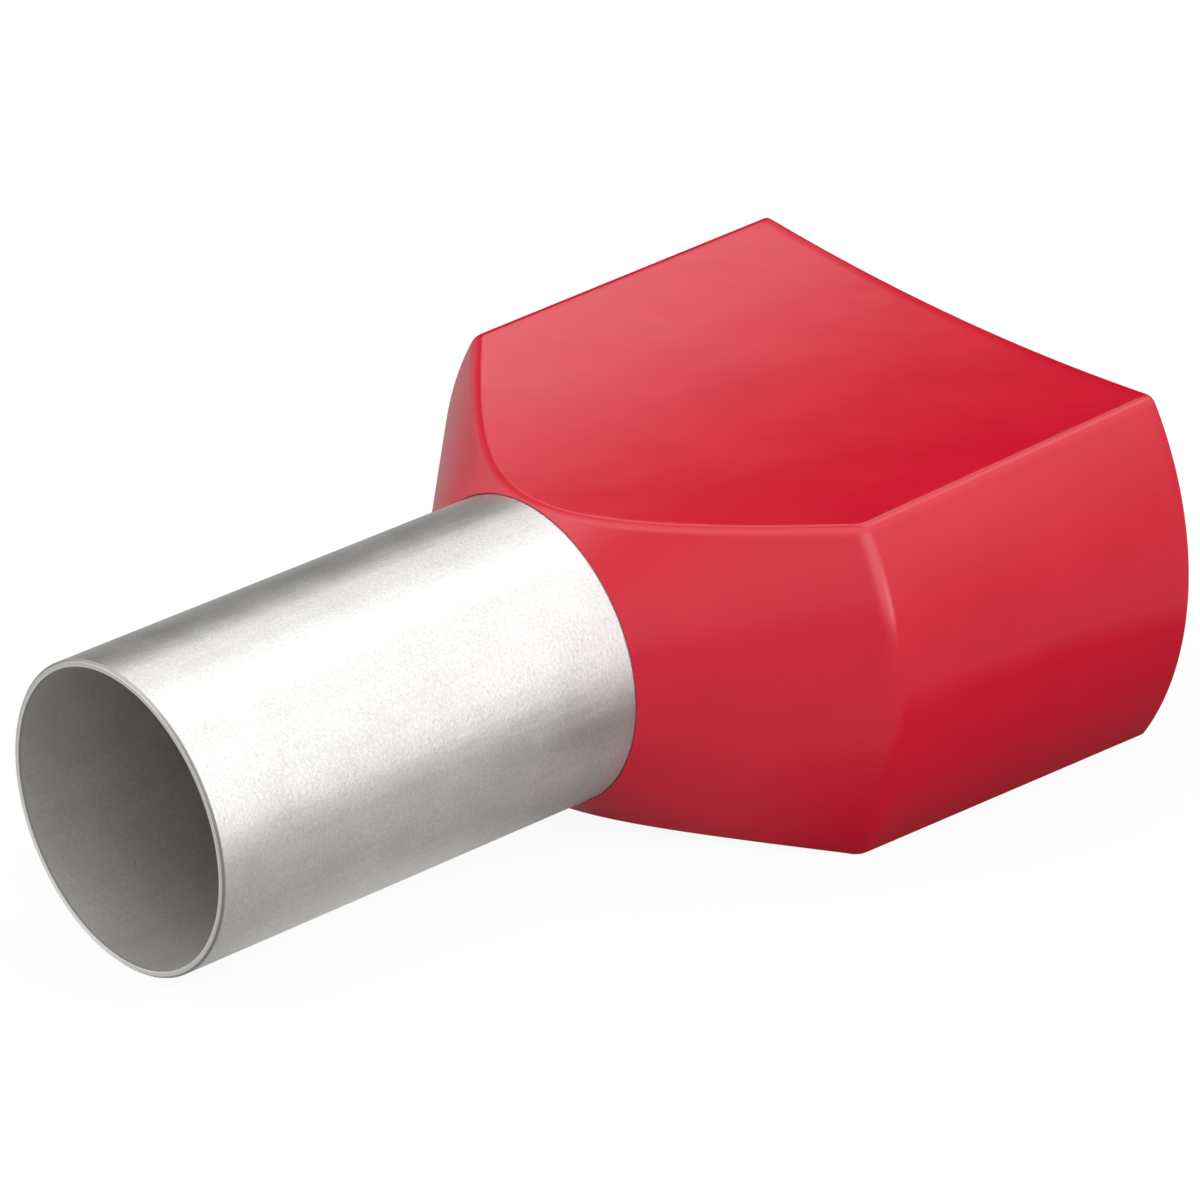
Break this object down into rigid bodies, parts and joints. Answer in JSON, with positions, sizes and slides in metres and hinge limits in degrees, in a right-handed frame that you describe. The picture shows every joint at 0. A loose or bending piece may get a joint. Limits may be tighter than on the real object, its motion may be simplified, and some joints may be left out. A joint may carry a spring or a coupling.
{
  "type": "wire ferrule",
  "caption": "Insulated twin wire ferrule: a thin tinned sleeve seated in a red plastic collar with flat faces, round sides and a wide mouth for wires laid side by side.",
  "frame": {"origin": "centre of the sleeve's open tip, on the sleeve's axis", "axes": "+X along the sleeve's axis, from the tip to the collar's mouth; +Y across the collar's wide way; +Z across its narrow way, square to the flats"},
  "size_m": [0.0297, 0.0186, 0.0104],
  "materials": {
    "tinned_copper": "satin tin plating",
    "red_plastic": "semi-gloss moulded"
  },
  "bodies": {
    "root": {"sleeve": "tinned_copper", "collar": "red_plastic"}
  },
  "joints": []
}
